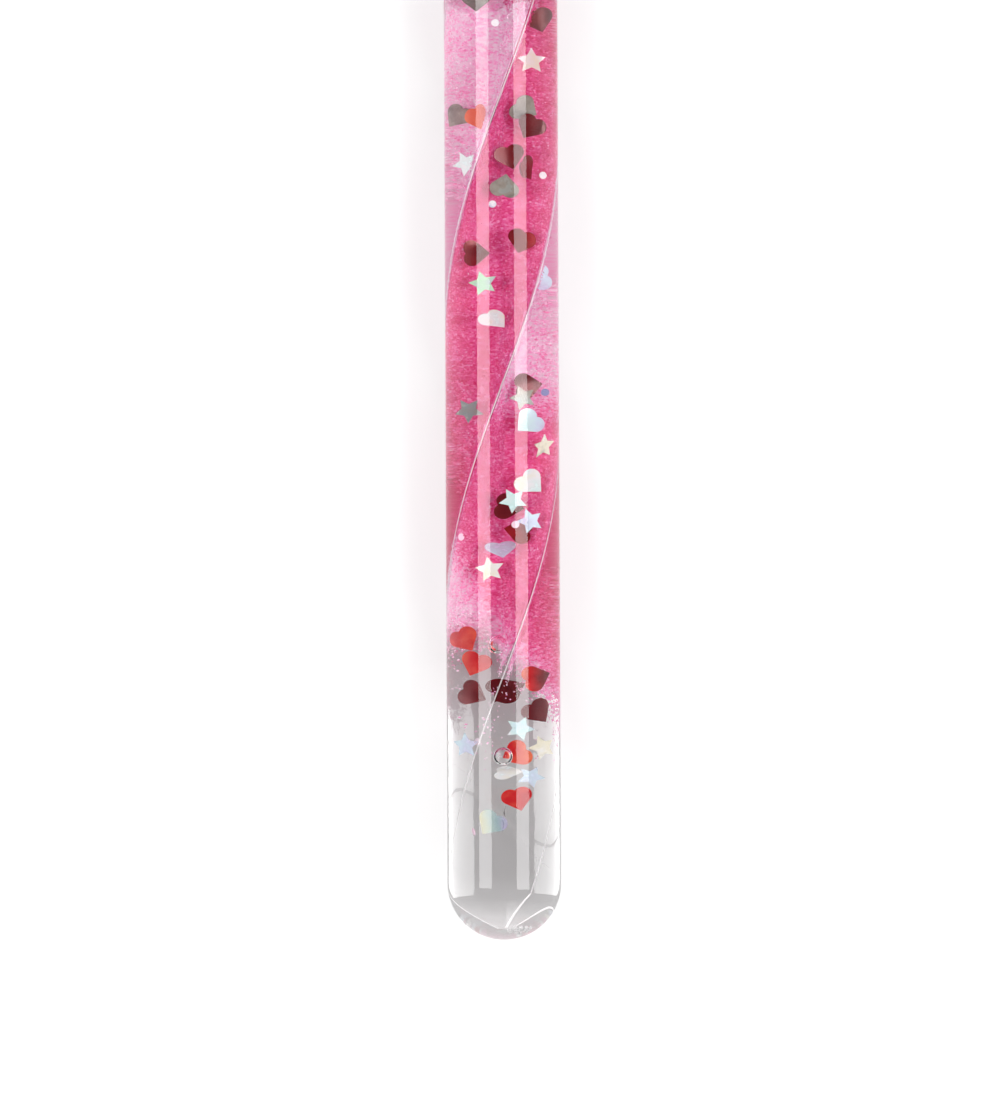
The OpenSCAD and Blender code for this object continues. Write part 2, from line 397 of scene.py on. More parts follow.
def let_lamps_past(tree, shader, out, share):
    """Loose film and flakes shade what lies under them only in part."""
    path = tree.nodes.new("ShaderNodeLightPath")
    open_way = tree.nodes.new("ShaderNodeBsdfTransparent")
    open_way.inputs["Color"].default_value = share
    for_lamps = by_ray(tree, path.outputs["Is Shadow Ray"], shader.outputs[0], open_way.outputs[0])
    tree.links.new(for_lamps, out.inputs["Surface"])


def foil_film(name, stops, rough, metal):
    """Metallised film, tinted piece by piece through its tint_and_sheen attribute, which also paints
    highlight and shade across each piece.
    """
    finish, tree, shader, out = start_finish(name)
    # The crinkle grain shifts each point along the tint scale, so it also paints small flecks of
    # highlight and shade
    grain = spread(tree, crinkle_scale, detail=3.0).outputs[0]
    tint = reckon(tree, "MULTIPLY_ADD", grain, crinkle_share, own(tree, "tint_and_sheen"))
    tint = reckon(tree, "SUBTRACT", tint, crinkle_share / 2)
    tree.links.new(ramp(tree, tint, stops), shader.inputs["Base Color"])
    shader.inputs["Metallic"].default_value = metal
    shade = ramp(tree, grain, [(0.3, grey(rough * 0.7)), (0.7, grey(rough * 1.3))])
    tree.links.new(shade, shader.inputs["Roughness"])
    let_lamps_past(tree, shader, out, film_lets_past)
    return finish


# The red film's tints run from maroon in painted shade, through red, to orange-red in a painted
# highlight of the soft boxes
red_film = foil_film(
    "red_film",
    [
        (0.0, paint(98, 10, 24)), (0.35, paint(140, 14, 28)),
        (0.7, paint(222, 34, 42)), (1.0, paint(255, 128, 92)),
    ],
    0.18, 0.2,
)
# The silver film's tints are partly its holographic hues and partly painted shade and highlight, running
# from dark grey to white
silver_film = foil_film(
    "silver_film",
    [
        (0.0, paint(120, 108, 104)), (0.12, paint(166, 156, 146)), (0.25, paint(150, 164, 164)),
        (0.38, paint(255, 246, 222)), (0.5, paint(255, 253, 255)), (0.62, paint(222, 250, 248)),
        (0.75, paint(220, 234, 252)), (0.88, paint(214, 200, 232)), (1.0, paint(206, 246, 208)),
    ],
    0.24, 0.12,
)
clear_film = foil_film(
    "clear_film",
    [
        (0.2, paint(250, 240, 160)), (0.45, paint(205, 235, 225)),
        (0.7, paint(160, 205, 210)), (0.9, paint(205, 180, 235)),
    ],
    0.1, 0.0,
)
cover_in_part(clear_film, clear_film_cover)
pearl_film = foil_film(
    "pearl_film",
    [
        (0.2, paint(240, 170, 205)), (0.5, paint(250, 204, 228)),
        (0.85, paint(255, 244, 250)), (1.0, paint(128, 126, 186)),
    ],
    0.35, 0.05,
)

# Glitter
cell_scale = 2300
cell_stretch = (0.8, 1.15, 0.8)
cell_middle = 0.75
cloud_scale = 330
cloud_stretch = (0.7, 1.0, 0.7)
cloud_share = 0.4
cloud_middle = 0.13
lie_flat = (0, 0, 0.9)
bed_lets_past = (0.87, 0.77, 0.81, 1)
flakes_let_past = (0.94, 0.88, 0.91, 1)
# The cells' colours run past one, so a closed layer needs a cover above their highest
full_cover = 1.52
glitter_stops = [
    (0.0, paint(238, 212, 227)), (0.25, paint(238, 196, 219)), (0.5, paint(242, 150, 202)),
    (0.72, paint(232, 82, 154)), (1.0, paint(216, 40, 116)),
]


def glitter_finish(name, rough, metal, between, contrast, thins_out=False):
    """Fine pink glitter: tone says how deep it is, and cover how thickly it lies."""
    finish, tree, shader, out = start_finish(name)
    cell = spread(tree, cell_scale, cell_stretch, 1.0, "ShaderNodeTexVoronoi")
    cloud = spread(tree, cloud_scale, cloud_stretch, 4.0)
    parts = tree.nodes.new("ShaderNodeSeparateColor")
    tree.links.new(cell.outputs["Color"], parts.inputs[0])
    depth = reckon(tree, "MULTIPLY_ADD", parts.outputs[0], contrast, own(tree, "tone"))
    depth = reckon(tree, "MULTIPLY_ADD", cloud.outputs[0], cloud_share, depth)
    depth = reckon(tree, "SUBTRACT", depth, cloud_middle + cell_middle * contrast)
    tree.links.new(ramp(tree, depth, glitter_stops), shader.inputs["Base Color"])
    shader.inputs["Metallic"].default_value = metal
    dull = ramp(tree, parts.outputs[1], [(0.0, grey(rough * 0.6)), (1.0, grey(rough * 1.3))])
    tree.links.new(dull, shader.inputs["Roughness"])
    let_lamps_past(tree, shader, out, between)
    if thins_out:
        slope = tree.nodes.new("ShaderNodeNewGeometry")
        level = tree.nodes.new("ShaderNodeVectorMath")
        level.operation = "ADD"
        level.inputs[1].default_value = lie_flat
        even = tree.nodes.new("ShaderNodeVectorMath")
        even.operation = "NORMALIZE"
        tree.links.new(slope.outputs["Normal"], level.inputs[0])
        tree.links.new(level.outputs[0], even.inputs[0])
        tree.links.new(even.outputs[0], shader.inputs["Normal"])
        cover_in_part(finish, reckon(tree, "LESS_THAN", parts.outputs[2], own(tree, "cover")))
    return finish


bed_pink = glitter_finish("bed_pink", 0.55, 0.0, bed_lets_past, 0.4, True)
wall_pink = glitter_finish("wall_pink", 0.55, 0.0, bed_lets_past, 0.15, True)
flake_pink = glitter_finish("flake_pink", 0.35, 0.1, flakes_let_past, 0.4)

# Tube: half a ball cut from a sphere, drawn up into a rod, then given its wall
ball_segments = 144


def round_ended_rod(name, radius, *tops):
    put_all_down()
    centre = (0, tube_r - wand_length / 2, tube_r)
    bpy.ops.mesh.primitive_uv_sphere_add(
        segments=ball_segments, ring_count=ball_segments // 2, radius=radius, location=centre,
        rotation=(math.radians(90), 0, 0),
    )
    rod = bpy.context.object
    rod.name = name
    fix_place(rod)
    bpy.ops.object.mode_set(mode="EDIT")
    bpy.ops.mesh.select_all(action="SELECT")
    bpy.ops.mesh.bisect(plane_co=centre, plane_no=(0, 1, 0), clear_outer=True, threshold=touch)
    here = tube_r
    for top in tops:
        bpy.ops.mesh.extrude_region_move(TRANSFORM_OT_translate={"value": (0, top - here, 0)})
        here = top
    bpy.ops.object.mode_set(mode="OBJECT")
    return rod


def make_tube():
    tube = round_ended_rod("tube_shell", tube_r, liquid_top, tube_mouth)
    face_outward(tube)
    put_on(tube, tube_skin, wet_bore, dry_bore)
    apply_modifier(
        tube, "SOLIDIFY", thickness=tube_wall, offset=-1.0, use_even_offset=True, use_rim=True,
        material_offset=1, material_offset_rim=0,
    )
    for face in tube.data.polygons:
        if face.material_index == 1 and height_of(face.center) > liquid_top:
            face.material_index = 2
    pick_up(tube)
    bpy.ops.object.shade_smooth_by_angle(angle=soft_angle)
    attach(tube, "wand")
    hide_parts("tube")


# Liquid: the same rod a little inside the bore, closed at the top, with two round air bubbles.
# A bubble is given by its place across the wand and its height.
bubble_r = 2 * MM
bubble_gap = 0.05 * MM
bubble_squash = 0.94
bubble_segments = 48
bubbles = [(-1.1 * MM, 64.9 * MM), (-0.15 * MM, 40.6 * MM)]


def make_liquid():
    skin_r = bore_r - wet_gap
    liquid = round_ended_rod("liquid_body", skin_r, liquid_top)
    choose(liquid, "edges", lambda edge: all(
        height_of(liquid.data.vertices[v].co) > liquid_top - touch for v in edge.vertices
    ))
    bpy.ops.mesh.edge_face_add()
    face_outward(liquid)
    put_on(liquid, liquid_skin, bubble_skin)
    pieces = [liquid]
    for across, height in bubbles:
        put_all_down()
        depth = math.sqrt((skin_r - bubble_r - bubble_gap) ** 2 - across ** 2)
        bpy.ops.mesh.primitive_uv_sphere_add(
            segments=bubble_segments, ring_count=bubble_segments // 2, radius=bubble_r,
            location=lie(across, -depth, height),
        )
        bubble = bpy.context.object
        bubble.scale = (1.0, 1.0, bubble_squash)
        fix_place(bubble)
        bpy.ops.object.mode_set(mode="EDIT")
        bpy.ops.mesh.select_all(action="SELECT")
        bpy.ops.mesh.flip_normals()
        bpy.ops.object.mode_set(mode="OBJECT")
        put_on(bubble, liquid_skin, bubble_skin)
        for face in bubble.data.polygons:
            face.material_index = 1
        pieces.append(bubble)
    join(pieces)
    bpy.ops.object.shade_smooth_by_angle(angle=soft_angle)
    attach(liquid, "wand")
    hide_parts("liquid")


# Insert: three fins pulled out of a triangle, drawn up straight, given a tapered toe and twisted
fin_ways = []
for i in range(len(channel_names)):
    angle = math.radians(channel_half * (2 * i + 1))
    fin_ways.append(Vector((math.cos(angle), 0, -math.sin(angle))))
tip_round = 0.2 * MM
tip_segments = 3
insert_cuts = (60, 6)
toe_cuts = 9
fin_edge_from = 0.85
cut_edge_from = 0.3


def twist_up(piece, height):
    apply_modifier(
        piece, "SIMPLE_DEFORM", deform_method="TWIST", deform_axis="Y",
        angle=2 * math.pi * height / spiral_lead,
    )


def make_insert():
    put_all_down()
    core_r = fin_thickness / math.sqrt(3)
    side = core_r / 2
    bpy.ops.mesh.primitive_circle_add(vertices=3, radius=core_r, fill_type="NGON")
    fins = bpy.context.object
    fins.name = "twisted_insert"
    fins.rotation_euler = (math.radians(90), 0, 0)
    fix_place(fins)
    corner = fins.data.vertices[0].co
    fins.rotation_euler = (0, -math.atan2(-corner.z, corner.x), 0)
    fix_place(fins)
    for way in fin_ways:
        choose(fins, "edges", lambda edge: all(
            abs(fins.data.vertices[v].co.dot(way) - side) < touch for v in edge.vertices
        ))
        bpy.ops.mesh.extrude_region_move(TRANSFORM_OT_translate={"value": way * (fin_r - side)})
        bpy.ops.object.mode_set(mode="OBJECT")
    choose(fins, "vertices", lambda vertex: vertex.co.length > fin_r - tip_round / 2)
    bpy.ops.mesh.bevel(offset=tip_round, segments=tip_segments, affect="VERTICES")
    bpy.ops.mesh.select_mode(type="FACE")
    bpy.ops.mesh.select_all(action="SELECT")
    bpy.ops.mesh.dissolve_faces()
    bpy.ops.mesh.select_all(action="SELECT")
    bpy.ops.mesh.extrude_region_move(TRANSFORM_OT_translate={"value": (0, insert_length, 0)})
    bpy.ops.object.mode_set(mode="OBJECT")
    for cuts in insert_cuts:
        cut_across(fins, cuts)
    choose(fins, "faces", lambda face: face.center.y < touch)
    bpy.ops.mesh.extrude_region_move(TRANSFORM_OT_translate={"value": (0, -toe_depth, 0)})
    bpy.ops.object.mode_set(mode="OBJECT")
    cut_across(fins, toe_cuts, high=0)
    face_outward(fins)
    # The fins' tips and cut foot take white finishes that paint their highlight and glow
    put_on(fins, fin_plastic, fin_tip_painted_highlight, cut_edge, painted_glints_at_foot)
    for face in fins.data.polygons:
        flat = Vector((face.center.x, 0, face.center.z))
        outward = face.normal.dot(flat.normalized()) if flat.length > fin_r - tip_round else 0
        if face.center.y < 0:
            face.material_index = 2 if outward > cut_edge_from else 3
        elif outward > fin_edge_from:
            face.material_index = 1
    for vertex in fins.data.vertices:
        flat = Vector((vertex.co.x, 0, vertex.co.z))
        if vertex.co.y < 0 and flat.length > fin_r / 2:
            way = max(fin_ways, key=flat.dot)
            vertex.co += way * (fin_r - toe_r) * vertex.co.y / toe_depth
    twist_up(fins, insert_length + toe_depth)
    fins.location = lie(0, 0, insert_foot)
    fix_place(fins)
    bpy.ops.object.shade_smooth_by_angle(angle=fin_soft_angle)
    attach(fins, "wand")
    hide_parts("spiral_insert")


# How deep the glitter's pink lies at a place, from 0 to 1; channel a stays deep up to the top
deep_share = 0.74
pale_share = 0.25
haze_share = 0.16
pale_from = [400 * MM, 118 * MM, 112 * MM]
pale_blur = 8 * MM
deep_height = 68 * MM
deep_lean = 1.8
# How much of it is there: its lower front slants across the wand and flattens at the left
fade_height = 66 * MM
fade_lean = 1.5
fade_left = -2 * MM
fade_length = 19 * MM
# The layers on the fins and on the wall, by shares of the insert's length
bed_from_shares = [0.11, 0.11, 0.1]
bed_to_share = 0.75
bed_reach_share = 0.96
bed_off = 0.45 * MM
bed_thickness = 0.3 * MM
bed_tail = 8 * MM
bed_columns = 24
wall_to_share = 0.985
wall_tail = 100 * MM
wall_off = 0.3 * MM
wall_thickness = 0.15 * MM
wall_below = 4.5 * MM
wall_segments = 120
wall_cuts = (50, 2)


def step(low, high, value):
    share = min(max((value - low) / (high - low), 0), 1)
    return share * share * (3 - 2 * share)


def depth_at(channel, place):
    height = height_of(place)
    paler = step(pale_from[channel] - pale_blur, pale_from[channel] + pale_blur, height)
    front = deep_height - deep_lean * place.x
    deeper = step(front - fade_length / 2, front + fade_length / 2, height)
    full = pale_share + (1 - paler) * (deep_share - pale_share)
    return haze_share + deeper * (full - haze_share)


def cover_at(place, tail):
    """Nothing below the slanting front, all of it above, thinning out again over the tail."""
    height = height_of(place)
    front = fade_height - fade_lean * max(place.x, fade_left)
    start = step(front - fade_length / 2, front + fade_length / 2, height)
    thin_from = rise(bed_to_share) - bed_tail
    return start * (1 - step(thin_from, thin_from + tail, height))


def colour_glitter(piece, channel_of, tail, finish):
    """Writes how deep the glitter is, and how much of it is there, on each point of a layer."""
    tone = piece.data.attributes.new("tone", "FLOAT", "POINT")
    cover = piece.data.attributes.new("cover", "FLOAT", "POINT")
    for vertex in piece.data.vertices:
        tone.data[vertex.index].value = depth_at(channel_of(vertex.co), vertex.co)
        cover.data[vertex.index].value = full_cover * cover_at(vertex.co, tail)
    put_on(piece, finish)
    pick_up(piece)
    bpy.ops.object.shade_smooth()


def make_bed(channel):
    """A thin layer that lines both fins of a channel: a grid, folded along its middle and twisted."""
    low, high = rise(bed_from_shares[channel]), rise(bed_to_share)
    length = high - low
    reach = bed_reach_share * fin_r - bed_off / math.tan(math.radians(channel_half))
    put_all_down()
    bpy.ops.mesh.primitive_grid_add(x_subdivisions=bed_columns, y_subdivisions=int(length / MM), size=1)
    bed = bpy.context.object
    bed.name = "glitter_bed_" + channel_names[channel]
    bed.scale = (2 * reach, length, 1)
    bed.location = (0, length / 2, 0)
    fix_place(bed)
    for side in (1, -1):
        choose(bed, "vertices", lambda vertex: vertex.co.x * side > touch)
        bpy.ops.transform.rotate(
            value=math.radians(90 - channel_half) * side, orient_axis="Y", orient_type="GLOBAL",
            center_override=(0, 0, 0),
        )
        bpy.ops.object.mode_set(mode="OBJECT")
    if max(vertex.co.z for vertex in bed.data.vertices) < touch:
        bed.scale = (1, 1, -1)
        fix_place(bed)
    bed.location = (0, 0, bed_off / math.sin(math.radians(channel_half)))
    fix_place(bed)
    bed.rotation_euler = (0, math.radians(90 + channel_angle(channel, low)), 0)
    fix_place(bed)
    twist_up(bed, length)
    bed.location = lie(0, 0, low)
    fix_place(bed)
    cut_away(bed, lambda face: cover_at(face.center, bed_tail) == 0)
    apply_modifier(bed, "SOLIDIFY", thickness=bed_thickness, offset=0.0)
    colour_glitter(bed, lambda place: channel, bed_tail, bed_pink)
    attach(bed, "filling_" + channel_names[channel])
    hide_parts("glitter_" + channel_names[channel])


def make_wall_glitter():
    """Glitter that has settled on the lower wall of the bore: the lower part of a thin tube."""
    low, high = rise(min(bed_from_shares)), rise(wall_to_share)
    put_all_down()
    bpy.ops.mesh.primitive_cylinder_add(
        vertices=wall_segments, radius=bore_r - wall_off, depth=high - low, end_fill_type="NOTHING",
        location=lie(0, 0, (low + high) / 2), rotation=(math.radians(90), 0, 0),
    )
    wall = bpy.context.object
    wall.name = "glitter_on_wall"
    fix_place(wall)
    cut_away(wall, lambda face: face.center.z > tube_r - wall_below)
    for cuts in wall_cuts:
        cut_across(wall, cuts)
    cut_away(wall, lambda face: cover_at(face.center, wall_tail) == 0)
    apply_modifier(wall, "SOLIDIFY", thickness=wall_thickness, offset=-1.0)

    def channel_of(place):
        angle = math.degrees(math.atan2(tube_r - place.z, place.x))
        return round((angle - channel_angle(0, height_of(place))) / (2 * channel_half)) % 3

    colour_glitter(wall, channel_of, wall_tail, wall_pink)
    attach(wall, "wand")


# Loose flakes: their lift off the bed is in millimetres, their lean and size are shares
flake_r = 0.24 * MM
flake_half = 0.03 * MM
flake_limit_r = bore_r - 0.8 * MM
flake_count = 24000
flake_lift = 0.25
flake_lift_spread = 0.35
flake_reach_shares = (0.01, 0.95)
flake_size_shares = (0.5, 1.1)
flake_tilt = 0.36
flake_settle = 0.9
roof_slope = -0.2
tone_spread = 0.09
fade_flakes_share = 0.3
stray_share = 0.03
lone_share = 0.2
any_turn = 6.3


def make_flakes(channel, chance):
    """Loose flakes over the bed: one flat four-sided flake, copied with its own turn and tone."""
    low, high = rise(bed_from_shares[channel]), rise(bed_to_share)
    around = np.arange(4) * math.pi / 2
    flake = np.zeros((6, 3))
    flake[:4, 0] = flake_r * np.cos(around)
    flake[:4, 1] = flake_r * np.sin(around)
    flake[4, 2] = flake_half
    flake[5, 2] = -flake_half
    sides = [(i, (i + 1) % 4, 4) for i in range(4)] + [((i + 1) % 4, i, 5) for i in range(4)]
    points, tones = [], []
    while len(points) < flake_count:
        in_fade = chance.random() < fade_flakes_share
        height = chance.uniform(low, fade_height + fade_length if in_fade else high)
        side = chance.choice((1, -1))
        reach = fin_r * math.sqrt(chance.uniform(*flake_reach_shares))
        fin = math.radians(channel_angle(channel, height) + side * channel_half)
        square = Vector((side * math.sin(fin), -side * math.cos(fin)))
        lift = bed_off + (flake_lift + abs(chance.gauss(0, flake_lift_spread))) * MM
        x = reach * math.cos(fin) + lift * square.x
        y = reach * math.sin(fin) + lift * square.y
        if math.hypot(x, y) > flake_limit_r:
            continue
        place = lie(x, y, height)
        cover = cover_at(place, bed_tail)
        if chance.random() > stray_share + (1 - stray_share) * cover:
            continue
        if cover == 0 and chance.random() > lone_share:
            continue
        up = Vector((square.x, 0, -square.y))
        settle = Vector((0, 0, flake_settle if up.z > roof_slope else -flake_settle))
        tilt = Vector([chance.gauss(0, flake_tilt) for _ in range(3)])
        facing = (up + settle + tilt).normalized().to_track_quat("Z", "Y").to_matrix()
        turned = np.array(facing @ Matrix.Rotation(chance.uniform(0, any_turn), 3, "Z"))
        size = chance.uniform(*flake_size_shares)
        points.append(size * flake @ turned.T + np.array(place))
        tones.append(depth_at(channel, place) + chance.gauss(0, tone_spread))
    corners = np.concatenate(points)
    all_faces = (np.array(sides)[None] + 6 * np.arange(len(points))[:, None, None]).reshape(-1, 3)
    mesh = bpy.data.meshes.new("glitter_flakes_" + channel_names[channel])
    mesh.from_pydata(corners.tolist(), [], all_faces.tolist())
    mesh.update()
    tone = mesh.attributes.new("tone", "FLOAT", "POINT")
    tone.data.foreach_set("value", np.repeat(np.array(tones), 6))
    flakes = bpy.data.objects.new(mesh.name, mesh)
    bpy.context.scene.collection.objects.link(flakes)
    put_on(flakes, flake_pink)
    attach(flakes, "filling_" + channel_names[channel])


# Foils: a heart, a star and a dot cut from thin film, each copied to its places and given its tint.
# A row is: share of the insert's length, share of the room to either side, share of the room outwards,
# turn, lean and tip in degrees, then the share of the film's tints at its left and at its right, which
# paint a highlight or shade across the foil.
red_heart_shares = [
    [
        (0.725, 0, 0.3, 20, -55, 10, 0.1, 0.05),
        (0.635, 0.2, 0.6, -30, -35, 10, 0.15, 0.1),
        (0.61, -0.9, 0.5, 15, -25, 5, 0.1, 0.15),
        (0.6, 0.8, 0.5, 40, 40, 0, 0.2, 0.25),
        (0.53, -1, 0.85, 90, 10, -10, 0.3, 0.1),
        (0.54, 1, 0.75, -20, -10, 15, 0.2, 0.45),
        (0.168, 0, 0.1, -120, 0, 5, 0.1, 0.1),
    ],
    [
        (0.42, -0.6, 0.35, 100, -35, 5, 0.15, 0.05),
        (0.32, 0.2, 0.15, 80, -5, 10, 0.15, 0.1),
        (0.3, 1, 0.6, -100, 0, -10, 0.4, 0.35),
        (0.21, -0.9, 0.65, 30, 25, 10, 0.65, 0.8),
        (0.19, 0, 0.35, -20, 40, -10, 0.8, 0.6),
        (0.165, 0.3, 0.4, 60, 40, 10, 0.1, 0.15),
    ],
    [
        (0.643, 1, 0.6, 20, 15, 0, 0.95, 0.75),
        (0.178, 0.1, 0.5, 110, -40, 10, 0.95, 0.0),
        (0.15, 0.5, 0.6, 35, -30, -10, 0.1, 0.05),
        (0.115, 0.1, 0.05, -60, -20, 10, 0.6, 1.0),
        (0.078, 1, 0.3, 15, 0, 15, 0.75, 0.65),
    ],
]
silver_heart_shares = [
    [
        (0.65, -0.6, 0.4, 60, -30, 20, 0.06, 0.12),
        (0.585, -0.6, 0.7, 170, -10, -15, 0.1, 0.13),
        (0.475, 1, 0.5, 30, 15, 45, 0.5, 0.5),
    ],
    [
        (0.51, -0.7, 0.2, -70, -55, 10, 0.9, 0.8),
        (0.39, 0.15, 0.5, -50, -30, -10, 0.52, 0.86),
        (0.34, 0.9, 0.6, 45, -15, 10, 0.45, 0.55),
        (0.285, 0.3, 0.3, 10, 5, -50, 0.78, 0.86),
    ],
    [
        (0.74, -0.6, 0.8, 0, 10, 30, 0.0, 0.05),
        (0.645, -0.6, 0.7, -30, 60, 25, 0.05, 0.12),
        (0.1, -0.6, 0.7, 90, -10, 60, 0.5, 0.5),
        (0.058, -0.6, 0.7, -35, 0, 0, 0.2, 0.9),
    ],
]
silver_star_shares = [
    [
        (0.69, -0.6, 0.3, 0, -65, 5, 0.46, 0.46),
        (0.505, -0.4, 0.6, 15, 10, -10, 1.0, 0.96),
        (0.4, 0.3, 0.5, 35, 60, 10, 0.25, 0.22),
    ],
    [
        (0.41, -0.8, 1, 20, -35, 0, 0.1, 0.16),
        (0.37, 1, 0.95, 10, 20, 20, 0.36, 0.42),
        (0.325, 0.1, 0.8, 30, -10, 5, 0.62, 0.55),
        (0.308, 0.9, 1, 20, -5, 5, 0.82, 0.72),
        (0.268, -0.2, 0.5, 10, 15, -5, 0.42, 0.46),
        (0.122, 0.9, 0.8, 0, 55, 10, 0.74, 0.78),
    ],
    [
        (0.605, 0.6, 0.4, 25, 40, 5, 0.5, 0.52),
        (0.136, -0.4, 0.4, 50, -32, -20, 0.6, 0.66),
        (0.12, 0.9, 0.85, 20, -25, 10, 0.4, 0.38),
        (0.096, 0.9, 0.7, 45, -10, 30, 0.7, 0.76),
    ],
]
pearl_dot_shares = [
    [
        (0.595, 0.9, 0.7, 0, -30, 10, 0.85, 0.85),
        (0.57, -0.5, 0.95, 0, -10, 0, 0.9, 0.9),
        (0.345, 0.4, 0.3, 0, 30, 10, 0.5, 0.5),
        (0.335, 1, 0.2, 0, 40, 0, 0.4, 0.4),
        (0.29, 0.8, 0.5, 0, 50, 0, 0.5, 0.5),
        (0.275, 0.9, 0.3, 0, 40, 10, 0.6, 0.6),
    ],
    [
        (0.415, 0.6, 0.6, 0, -30, 10, 1.0, 1.0),
        (0.295, -1, 1, 0, 10, 0, 0.5, 0.5),
        (0.305, 0.3, 0.8, 0, 0, 10, 0.6, 0.6),
        (0.125, 0.6, 0.3, 0, 30, 0, 0.8, 0.8),
        (0.05, 0.9, 0.3, 0, 40, 10, 0.6, 0.6),
    ],
    [
        (0.72, 0.5, 0.8, 0, 20, 0, 0.85, 0.85),
        (0.3, -0.9, 0.4, 0, -40, 10, 0.5, 0.5),
        (0.27, -0.8, 0.5, 0, -30, 0, 0.5, 0.5),
    ],
]
heart_side = heart_width / (1 + math.sqrt(0.5))
heart_lobe = heart_side * math.sqrt(0.125)
heart_drop_share = 0.15
heart_drop = heart_drop_share * heart_side
heart_reach = math.hypot(heart_lobe, heart_lobe - heart_drop) + heart_side / 2
lobe_steps = 14
star_points = 5
star_waist_share = 0.5
star_bow_share = 0.6
dot_segments = 20
film_bow = 0.25 * MM
bow_level_share = 0.4
strip_shares = (-0.75, -0.5, -0.25, 0.0, 0.25, 0.5, 0.75)
clear_below_share = 0.08
clear_below = rise(clear_below_share)
# A point lies on an edge's line if its offset, times the lobe's distance, is below this in square metres
on_line = 1e-9


def cut_heart():
    """A square on its corner, with half of each upper edge swung round into a lobe."""
    put_all_down()
    bpy.ops.mesh.primitive_plane_add(size=heart_side, rotation=(0, 0, math.radians(45)))
    heart = bpy.context.object
    fix_place(heart)
    for side in (-1, 1):
        middle = Vector((side * heart_lobe, heart_lobe, 0))

        def away(v):
            return heart.data.vertices[v].co - middle

        choose(heart, "edges", lambda edge: (
            abs(sum(away(v).dot(middle) for v in edge.vertices)) < on_line
            and all(away(v).length < heart_side for v in edge.vertices)
        ))
        bpy.ops.mesh.subdivide(number_cuts=1)
        bpy.ops.object.mode_set(mode="OBJECT")
        choose(heart, "edges", lambda edge: all(
            abs(away(v).dot(middle)) < on_line and away(v).y > -merge_gap for v in edge.vertices
        ))
        bpy.ops.mesh.spin(steps=lobe_steps, angle=math.radians(180), center=middle, axis=(0, 0, side))
        bpy.ops.object.mode_set(mode="OBJECT")
    heart.location = (0, -heart_drop, 0)
    fix_place(heart)
    return heart


def cut_star():
    """Ten points of a circle, every second one drawn in to the waist."""
    put_all_down()
    bpy.ops.mesh.primitive_circle_add(vertices=2 * star_points, radius=star_d / 2, fill_type="NGON")
    star = bpy.context.object
    choose(star, "vertices", lambda vertex: vertex.index % 2 == 1)
    bpy.ops.transform.resize(value=(star_waist_share, star_waist_share, 1), center_override=(0, 0, 0))
    bpy.ops.object.mode_set(mode="OBJECT")
    return star


def cut_dot():
    put_all_down()
    bpy.ops.mesh.primitive_circle_add(vertices=dot_segments, radius=dot_d / 2, fill_type="NGON")
    return bpy.context.object


def finish_film(foil, bow):
    """One flat face, cut into strips, bowed a little and given its thickness."""
    bpy.ops.object.mode_set(mode="EDIT")
    bpy.ops.mesh.select_mode(type="FACE")
    bpy.ops.mesh.select_all(action="SELECT")
    bpy.ops.mesh.remove_doubles(threshold=merge_gap)
    bpy.ops.mesh.dissolve_faces()
    half = max(vertex.co.x for vertex in foil.data.vertices)
    for share in strip_shares:
        bpy.ops.mesh.select_all(action="SELECT")
        bpy.ops.mesh.bisect(plane_co=(share * half, 0, 0), plane_no=(1, 0, 0))
    bpy.ops.object.mode_set(mode="OBJECT")
    for vertex in foil.data.vertices:
        vertex.co.z = bow * ((vertex.co.x / half) ** 2 - bow_level_share)
    apply_modifier(foil, "SOLIDIFY", thickness=foil_thickness, offset=0.0)
    face_outward(foil)


def foil_place(channel, row, reach):
    """Where a foil lies: the same steps as in the part's source."""
    along, aside, outwards, turn, lean, tip = row[:6]
    height = rise(along)

    def room(side):
        to_fin = math.radians(lean + side * (90 - channel_half))
        square = math.cos(math.radians(abs(tip) + fin_slope)) * math.cos(to_fin)
        return glitter_out + drift_gap + reach * math.sqrt(1 - square ** 2)

    near = max(room(-1), room(1)) / math.sin(math.radians(channel_half))
    far = bore_r - drift_gap - reach
    away = near + outwards * (far - near)
    side = (aside > 0) - (aside < 0)
    swing = aside * (channel_half - math.degrees(math.asin(room(side) / away)))

    def turned(angle, axis):
        return Matrix.Rotation(math.radians(angle), 4, axis)

    lay = Matrix(((1, 0, 0, 0), (0, 0, 1, -wand_length / 2), (0, -1, 0, tube_r), (0, 0, 0, 1)))
    return (
        lay @ Matrix.Translation((0, 0, height)) @ turned(channel_angle(channel, height) + swing, "Z")
        @ Matrix.Translation((away, 0, 0)) @ turned(lean - swing, "Z") @ turned(tip, "Y")
        @ turned(turn, "X") @ turned(90, "Z") @ turned(90, "X")
    )


